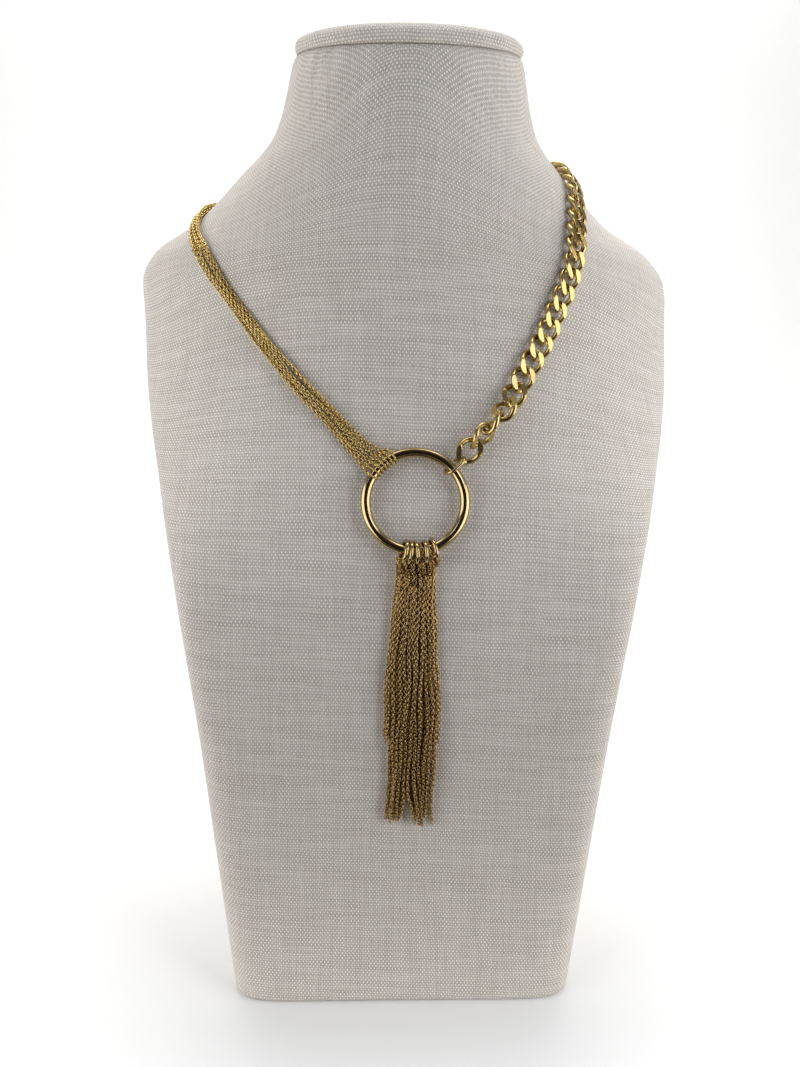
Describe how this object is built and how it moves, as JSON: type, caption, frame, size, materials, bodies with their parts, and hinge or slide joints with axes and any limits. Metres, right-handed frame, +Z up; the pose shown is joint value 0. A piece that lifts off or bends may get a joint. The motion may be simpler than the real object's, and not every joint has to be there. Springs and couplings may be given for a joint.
{
  "type": "link chain necklace on a neck bust",
  "caption": "Asymmetric gold-tone necklace: fine strands and a curb chain meet at a big ring with a chain tassel, laid on a linen neck bust",
  "frame": {"origin": "middle of the bust's flat base, on the surface it stands on", "axes": "+Z up the bust, -Y out of its front, +X to the viewer's right"},
  "size_m": [0.2099, 0.1267, 0.354],
  "materials": {
    "linen": "plain-weave natural linen stretched over a firm body",
    "gold_plate": "polished gold-tone plate",
    "dark_gold_chain": "fine polished gold-tone cable chain"
  },
  "bodies": {
    "root": {"bust_body": "linen", "base_board": "linen", "neck_cap": "linen", "big_ring": "gold_plate", "oval_ring": "gold_plate", "curb_link_1": "gold_plate", "curb_link_2": "gold_plate", "curb_link_3": "gold_plate", "curb_link_4": "gold_plate", "curb_link_5": "gold_plate", "curb_link_6": "gold_plate", "curb_link_7": "gold_plate", "curb_link_8": "gold_plate", "curb_link_9": "gold_plate", "curb_link_10": "gold_plate", "curb_link_11": "gold_plate", "curb_link_12": "gold_plate", "curb_link_13": "gold_plate", "curb_link_14": "gold_plate", "curb_link_15": "gold_plate", "curb_link_16": "gold_plate", "curb_link_17": "gold_plate", "curb_link_18": "gold_plate", "curb_link_19": "gold_plate", "curb_link_20": "gold_plate", "curb_link_21": "gold_plate", "curb_link_22": "gold_plate", "curb_link_23": "gold_plate", "curb_link_24": "gold_plate", "curb_link_25": "gold_plate", "curb_link_26": "gold_plate", "curb_link_27": "gold_plate", "curb_link_28": "gold_plate", "curb_link_29": "gold_plate", "curb_link_30": "gold_plate", "strand_bundle": "gold_plate", "jump_ring_1": "gold_plate", "jump_ring_2": "gold_plate", "jump_ring_3": "gold_plate", "jump_ring_4": "gold_plate", "jump_ring_5": "gold_plate", "tassel": "dark_gold_chain", "clasp": "gold_plate", "curb_end_ring": "gold_plate", "strand_end_ring": "gold_plate"}
  },
  "joints": []
}
